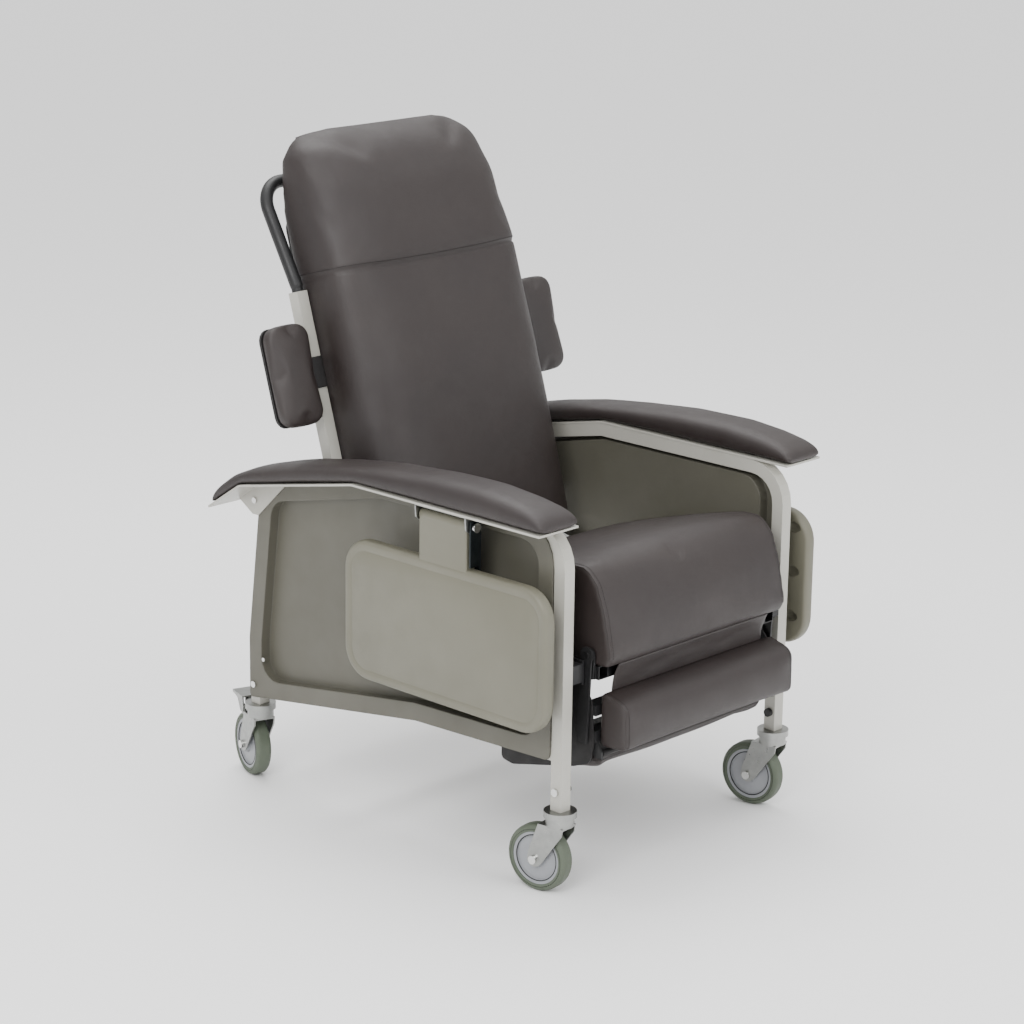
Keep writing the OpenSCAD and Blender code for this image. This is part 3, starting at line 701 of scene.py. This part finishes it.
def makeFootPad():
    outline = roundOutline(footPad["outline"], footPad["rounding"])
    half = footPad["halfWidth"]
    pad = slabFromOutline("footPad", outline, -half, half, "x")
    corners = pad.modifiers.new("corners", "BEVEL")
    corners.width = 0.008
    corners.segments = 3
    corners.limit_method = "ANGLE"
    applyAll(pad)
    remesh(pad, footPad["voxel"])
    inflate(pad, lambda place, normal: 1 if place.z > -0.009 else 0, footPad["pressure"], footPad["cap"])
    subdivide(pad)
    edge = [Vector((x, y, -0.010)) for x, y in ((-half, 0.012), (half, 0.012), (half, 0.233), (-half, 0.233))]
    groove(pad, edge, 0.0025, 0.0015, closed=True)
    seam = stitches("footStitch", pad, [p + Vector((0, 0, -0.006)) for p in edge], closed=True)
    for piece in (pad, seam):
        piece.data.transform(foldSpace)
    finishPadded(pad, "foot", ["foot_pad"])
    rideAll("foot", seam)


makeFootPad()
print("legrest pads done")

# ---- armrest pads ----
armPad = {"stations": 90, "around": 36, "width": 0.1015, "endRound": 0.020, "sideHeight": 0.36, "fill": 0.8,
          "under": [(-0.4334, 0.7060), (-0.4300, 0.6992), (0.0466, 0.6992), (0.3586, 0.6356), (0.4430, 0.5804),
                    (0.4480, 0.5830)],
          "crown": [(-0.4334, 0.7060), (-0.4320, 0.7130), (-0.4270, 0.7205), (-0.4160, 0.7275), (-0.3980, 0.7345),
                    (-0.3534, 0.7430), (-0.2724, 0.7498), (-0.1454, 0.7475), (-0.0154, 0.7372), (0.1016, 0.7220),
                    (0.2006, 0.7045), (0.2586, 0.6905), (0.3326, 0.6705), (0.3876, 0.6475), (0.4250, 0.6210),
                    (0.4400, 0.6040), (0.4480, 0.5830)]}


def along(line, y):
    for (y0, z0), (y1, z1) in zip(line, line[1:]):
        if y <= y1:
            break
    return z0 + (z1 - z0) * min(1, max(0, (y - y0) / (y1 - y0)))


def makeArmPad(side, word):
    low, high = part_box("arm_pad_" + word)
    middle = (low[0] + high[0]) / 2
    start, end = armPad["crown"][0][0], armPad["crown"][-1][0]
    points, around = [], armPad["around"]
    for station in range(armPad["stations"] + 1):
        y = (start + end) / 2 - (end - start) / 2 * math.cos(math.pi * station / armPad["stations"])
        near = min(y - start, end - y, armPad["endRound"])
        half = armPad["width"] / 2 - 0.4 * (armPad["endRound"]
                                            - math.sqrt(armPad["endRound"] ** 2 - (armPad["endRound"] - near) ** 2))
        bottom, top = along(armPad["under"], y), along(armPad["crown"], y)
        side0 = bottom + (top - bottom) * armPad["sideHeight"]
        for corner in range(around):
            angle = 2 * math.pi * corner / around
            c, s = math.cos(angle), math.sin(angle)
            x = half * math.copysign(abs(c) ** 0.55, c)
            z = side0 + (top - side0) * s ** 0.85 if s >= 0 else side0 - (side0 - bottom) * abs(s) ** 0.4
            points.append((middle + x, y, z))
    faces = []
    for station in range(armPad["stations"]):
        for corner in range(around):
            a, b = station * around + corner, station * around + (corner + 1) % around
            faces.append((a, b, b + around, a + around))
    faces += [tuple(range(around))[::-1], tuple(range(len(points) - around, len(points)))]
    pad = meshPiece("armPad" + word.capitalize(), points, faces)
    only(pad)
    bpy.ops.object.mode_set(mode="EDIT")
    bpy.ops.mesh.select_all(action="SELECT")
    bpy.ops.mesh.remove_doubles(threshold=0.0002)
    bpy.ops.mesh.normals_make_consistent(inside=False)
    bpy.ops.object.mode_set(mode="OBJECT")
    remesh(pad, 0.005, 4)
    shape(pad, lambda place, normal: place + normal * 0.0014 * noise.noise(place * 7))
    subdivide(pad)
    finishPadded(pad, "frame", ["arm_pad_" + word])


for side, word in ((-1, "right"), (1, "left")):
    makeArmPad(side, word)
print("armrest pads done")

# ---- headrest wings ----
wingPad = {"voxel": 0.004, "pressure": 4, "cap": 0.010, "fill": 0.75, "radius": 0.028}


def makeWing(side, word):
    xs = sorted((side * 0.2845, side * 0.3865))
    outline = [(xs[0], 0.2065), (xs[1], 0.2065), (xs[1], 0.3995), (xs[0], 0.3995)]
    pad = slabFromOutline("wingPad" + word.capitalize(), roundOutline(outline, wingPad["radius"], 8),
                          -0.0345, -0.0063, "y")
    corners = pad.modifiers.new("corners", "BEVEL")
    corners.width = 0.009
    corners.segments = 4
    corners.limit_method = "ANGLE"
    applyAll(pad)
    remesh(pad, wingPad["voxel"])
    inflate(pad, lambda place, normal: 1 if place.y > -0.0095 else 0, wingPad["pressure"], wingPad["cap"])
    subdivide(pad)
    rim = [Vector((p.x, -0.0095, p.y)) for p in roundOutline(outline, wingPad["radius"], 8)]
    groove(pad, rim, 0.002, 0.0012, closed=True)
    cord = welt("wingWelt" + word.capitalize(), pad, rim, 0.0017, closed=True)
    for piece in (pad, cord):
        piece.data.transform(leanSpace)
    finishPadded(pad, "wing_" + word, ["wing_pad_" + word])
    rideAll("wing_" + word, cord)


for side, word in ((-1, "right"), (1, "left")):
    makeWing(side, word)
print("wings done")

# ---- calf flap: a strip of vinyl from the seat's front to the legrest ----
calfFlap = {"columns": 60, "rows": 14, "thick": 0.0022, "sag": 0.004, "ripple": 0.0022}


def makeFlap():
    low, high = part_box("calf_flap")
    top = Vector((0, low[1] + 0.001, high[2] + 0.002))
    foot = Vector((0, high[1] - 0.0025, low[2] - 0.0065))
    columns, rows = calfFlap["columns"], calfFlap["rows"]
    points = []
    for row in range(rows + 1):
        share = row / rows
        for column in range(columns + 1):
            x = low[0] + (high[0] - low[0]) * column / columns
            place = top.lerp(foot, share)
            bulge = math.sin(math.pi * share)
            wave = noise.noise(Vector((x * 14, share * 2, 3)))
            place.y += calfFlap["sag"] * bulge + calfFlap["ripple"] * bulge * wave
            points.append((x, place.y, place.z))
    faces = []
    for row in range(rows):
        for column in range(columns):
            a = row * (columns + 1) + column
            faces.append((a, a + 1, a + columns + 2, a + columns + 1))
    flap = meshPiece("calfFlap", points, faces)
    thick = flap.modifiers.new("thick", "SOLIDIFY")
    thick.thickness = calfFlap["thick"]
    thick.offset = 0
    applyAll(flap)
    smoothShade(flap)
    flap.data.materials.append(finishes["vinyl"])
    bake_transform(flap)
    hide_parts("calf_flap")


makeFlap()
print("calf flap done")


# ---- side trays: blow-moulded boards with soft rims ----
traySet = {"thick": 0.026, "cornerRadius": 0.060, "rim": 0.008, "lineIn": 0.017, "lineDeep": 0.0012,
           "shoulder": 0.592, "neckFrom": 0.317, "neckWide": 0.12, "dimple": (0.011, 0.018, 0.011),
           "dimpleRows": (0.381, 0.472, 0.560),
           "dimpleColumns": (0.036, 0.19, 0.34, 0.47)}


def makeTray(side, word):
    low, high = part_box("tray_" + word)
    inner = side * min(abs(low[0]), abs(high[0]))
    tall, wide = traySet["shoulder"] - low[2], high[1] - low[1]
    bpy.ops.mesh.primitive_plane_add(size=1, location=(inner, low[1] + wide / 2, low[2] + tall / 2),
                                     rotation=(0, math.pi / 2, 0))
    tray = bpy.context.object
    tray.name = "tray" + word.capitalize()
    tray.scale = (tall, wide, 1)
    bpy.ops.object.transform_apply(location=True, rotation=True, scale=True)
    bpy.ops.object.mode_set(mode="EDIT")
    bpy.ops.mesh.select_all(action="SELECT")
    bpy.ops.mesh.bevel(affect="VERTICES", offset=traySet["cornerRadius"], offset_type="OFFSET", segments=10)
    bpy.ops.mesh.extrude_region_move(TRANSFORM_OT_translate={"value": (side * traySet["thick"], 0, 0)})
    bpy.ops.mesh.inset(thickness=traySet["lineIn"], depth=0)
    bpy.ops.mesh.inset(thickness=0.0022, depth=0)
    bpy.ops.transform.translate(value=(-side * traySet["lineDeep"], 0, 0))
    bpy.ops.mesh.inset(thickness=0.0012, depth=0)
    bpy.ops.mesh.inset(thickness=0.0022, depth=0)
    bpy.ops.transform.translate(value=(side * traySet["lineDeep"], 0, 0))
    bpy.ops.mesh.select_all(action="SELECT")
    bpy.ops.mesh.normals_make_consistent(inside=False)
    bpy.ops.object.mode_set(mode="OBJECT")
    soften(tray, traySet["rim"], 4)

    x = inner + side * traySet["thick"] / 2
    neckWide = traySet["neckWide"]
    neckMiddle = high[1] - traySet["neckFrom"] + neckWide / 2
    bottom, top = traySet["shoulder"] - 0.03, high[2] - traySet["thick"] / 2
    bpy.ops.mesh.primitive_cube_add(size=1, location=(x, neckMiddle, (bottom + top) / 2),
                                    scale=(traySet["thick"] - 0.002, neckWide, top - bottom))
    neck = bpy.context.object
    soften(neck, 0.003, 3)
    bpy.ops.mesh.primitive_cylinder_add(vertices=40, radius=traySet["thick"] / 2 - 0.0005,
                                        depth=neckWide, location=(x, neckMiddle, top), rotation=(math.pi / 2, 0, 0))
    roll = bpy.context.object
    soften(roll, 0.002, 2)
    for extra in (neck, roll):
        combine(tray, extra, "UNION")
    cutter = None
    for z in traySet["dimpleRows"]:
        for y in traySet["dimpleColumns"]:
            bpy.ops.mesh.primitive_uv_sphere_add(segments=24, ring_count=16, radius=1, scale=traySet["dimple"],
                                                 location=(inner, low[1] + y, z))
            if cutter:
                cutter.select_set(True)
                bpy.context.view_layer.objects.active = cutter
                bpy.ops.object.join()
            cutter = bpy.context.object
    combine(tray, cutter, "DIFFERENCE")
    only(tray)
    bpy.ops.object.shade_smooth_by_angle(angle=math.radians(32))
    tray.data.materials.clear()
    tray.data.materials.append(finishes["trayPlastic"])
    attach(tray, "tray_" + word)
    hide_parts("tray_" + word)


def soften(piece, width, segments, angle=50):
    bevel = piece.modifiers.new("soft", "BEVEL")
    bevel.width = width
    bevel.segments = segments
    bevel.limit_method = "ANGLE"
    bevel.angle_limit = math.radians(angle)
    applyAll(piece)


def combine(piece, other, operation):
    cut = piece.modifiers.new("cut", "BOOLEAN")
    cut.operation = operation
    cut.solver = "EXACT"
    cut.object = other
    applyAll(piece)
    bpy.data.objects.remove(other)


for side, word in ((-1, "right"), (1, "left")):
    makeTray(side, word)
print("trays done")

# ---- caster wheels: a thin black ring of painted shade laid in the step between the hub's rim and its disc ----
hubShadeRing = {"radius": 0.0438, "thick": 0.0011, "slack": 0.0004}


def makeHubShadeRings():
    for end in ("front", "rear"):
        for word in ("right", "left"):
            node = "hub_" + end + "_" + word
            joint = jointPlaces["wheel_" + end + "_" + word]
            axis, centre = Vector(joint["axis"]), Vector(joint["pos_m"])
            tree = BVHTree.FromObject(frame["nodes"][node], bpy.context.evaluated_depsgraph_get())
            aside = axis.cross(Vector((0, 0, 1))).normalized() * hubShadeRing["radius"]
            for sign in (-1, 1):
                face = tree.ray_cast(centre + aside + axis * sign * 0.05, -axis * sign)[0]
                if face is None:
                    continue
                reach = (face - centre).dot(axis)
                # black cord standing in for the shade in the hub's step: painted shade
                bpy.ops.mesh.primitive_torus_add(major_radius=hubShadeRing["radius"], minor_radius=hubShadeRing["thick"],
                                                 major_segments=64, minor_segments=8,
                                                 location=centre + axis * reach,
                                                 rotation=axis.to_track_quat("Z", "Y").to_euler())
                ring = bpy.context.object
                ring.name = "hubShadeRing" + end.capitalize() + word.capitalize() + ("Out" if sign > 0 else "In")
                bpy.ops.object.transform_apply(location=True, rotation=True, scale=True)
                smoothShade(ring)
                ring.data.materials.append(finishes["capBlack"])
                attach(ring, "wheel_" + end + "_" + word)


makeHubShadeRings()
print("hub rings done")
